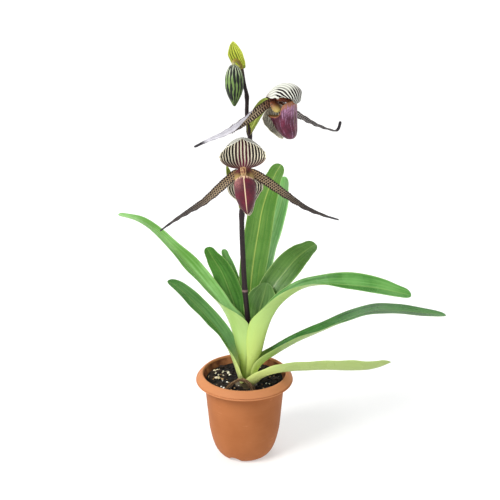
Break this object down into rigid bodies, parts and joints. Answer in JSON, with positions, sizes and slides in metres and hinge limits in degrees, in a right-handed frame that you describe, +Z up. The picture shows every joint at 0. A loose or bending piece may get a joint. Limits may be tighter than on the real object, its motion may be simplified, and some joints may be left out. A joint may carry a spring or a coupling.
{
  "type": "potted slipper orchid",
  "caption": "Slipper orchid in flower: strap leaves, striped blooms with long spotted petals and a bud on a dark stem, in a round terracotta-coloured plastic pot.",
  "frame": {"origin": "centre of the pot's foot, on the surface it stands on", "axes": "+Z up, -Y towards the front, where the lower bloom faces, +X to the viewer's right"},
  "size_m": [0.4647, 0.2027, 0.5893],
  "materials": {
    "terracotta_plastic": "satin",
    "bark_mix": "matte",
    "leaf_green": "satin",
    "crown_green": "satin",
    "stem_purple": "satin",
    "dry_sheath": "matte",
    "ovary_green": "satin",
    "bract_lime": "satin",
    "sepal_stripe": "satin",
    "petal_spotted": "satin",
    "pouch_maroon": "satin",
    "column_yellow": "satin",
    "bud_dark": "satin"
  },
  "bodies": {
    "root": {"pot": "terracotta_plastic", "potting_mix": "bark_mix", "crown": "crown_green", "flower_stem": "stem_purple", "old_sheath": "dry_sheath", "leaf_left_long": "leaf_green", "leaf_left_low": "leaf_green", "leaf_left_inner": "leaf_green", "leaf_right_short": "leaf_green", "leaf_right_middle": "leaf_green", "leaf_right_arching": "leaf_green", "leaf_right_long": "leaf_green", "leaf_right_low": "leaf_green", "leaf_back_tall": "leaf_green", "leaf_back_right": "leaf_green", "leaf_back_left": "leaf_green", "front_ovary": "ovary_green", "front_bract": "bract_lime", "front_dorsal_sepal": "sepal_stripe", "front_ventral_sepal": "sepal_stripe", "front_petal_left": "petal_spotted", "front_petal_right": "petal_spotted", "front_pouch": "pouch_maroon", "front_column": "column_yellow", "upper_ovary": "ovary_green", "upper_bract": "bract_lime", "upper_dorsal_sepal": "sepal_stripe", "upper_ventral_sepal": "sepal_stripe", "upper_petal_left": "petal_spotted", "upper_petal_right": "petal_spotted", "upper_pouch": "pouch_maroon", "upper_column": "column_yellow", "top_bract": "bract_lime", "bud_stalk": "ovary_green", "bud": "bud_dark"}
  },
  "joints": []
}
